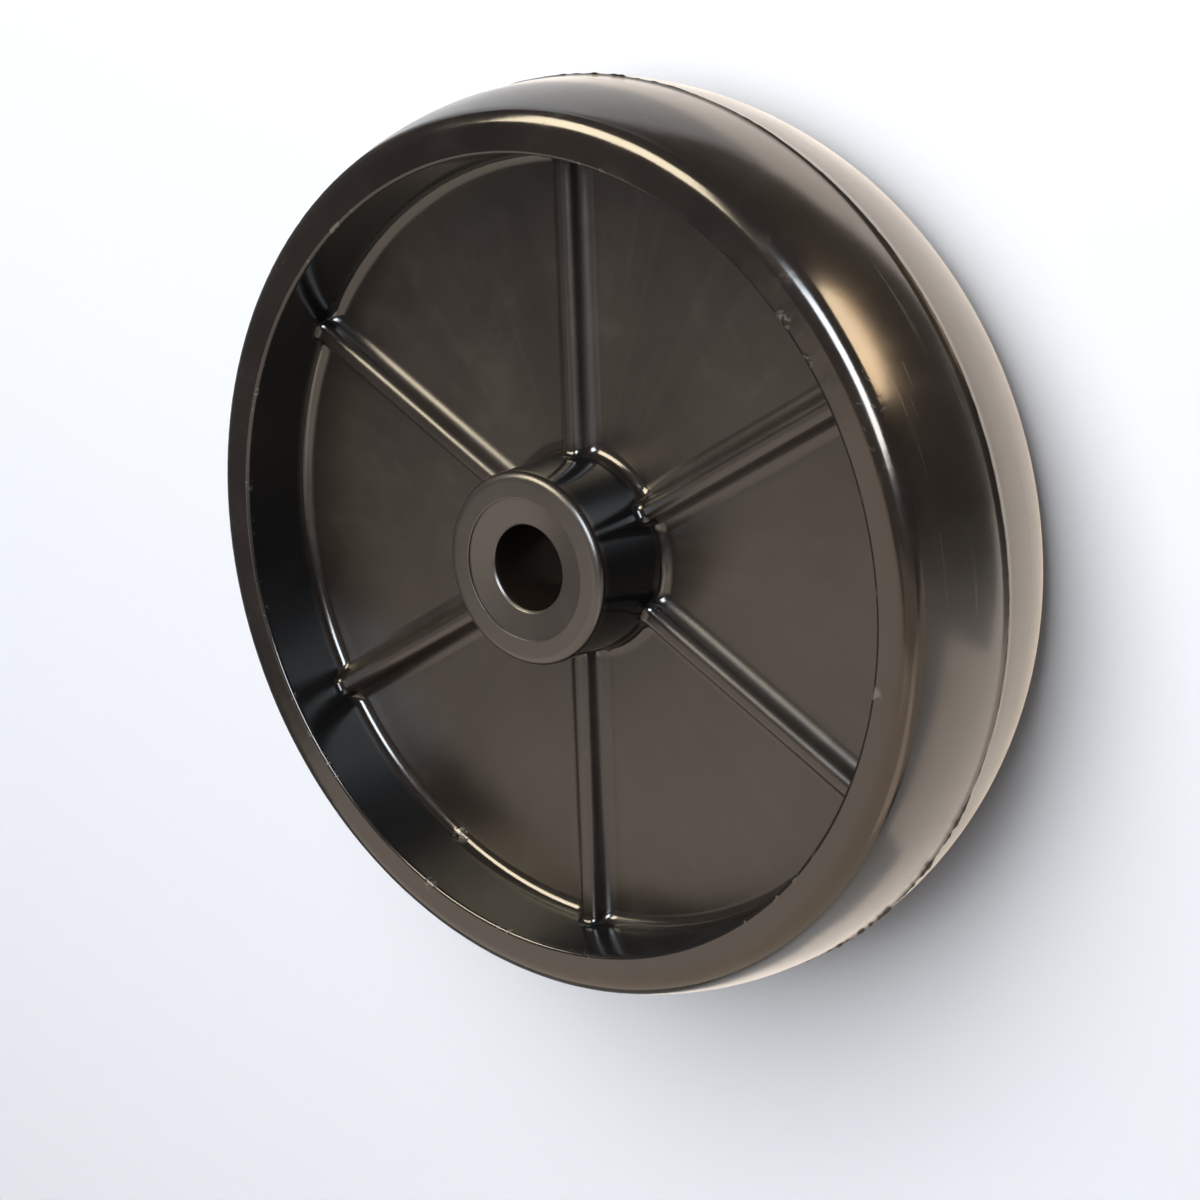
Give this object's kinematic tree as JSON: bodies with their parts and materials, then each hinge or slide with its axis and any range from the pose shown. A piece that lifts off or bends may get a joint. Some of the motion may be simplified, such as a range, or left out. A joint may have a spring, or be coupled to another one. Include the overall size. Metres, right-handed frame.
{
  "type": "industrial wheel",
  "caption": "One-piece moulded plastic wheel with a crowned tread, dished sides, a ribbed web and a round hub with a plain through bore.",
  "frame": {"origin": "on the bore's axis, halfway along the bore, in the mould's parting plane", "axes": "+Z along the bore axis, out of one side; +X along one of the ribs; the two sides are alike"},
  "size_m": [0.2038, 0.2038, 0.0556],
  "materials": {
    "wheel_plastic": "glossy as-moulded dark brown-black polyolefin"
  },
  "bodies": {
    "root": {"wheel": "wheel_plastic"}
  },
  "joints": []
}
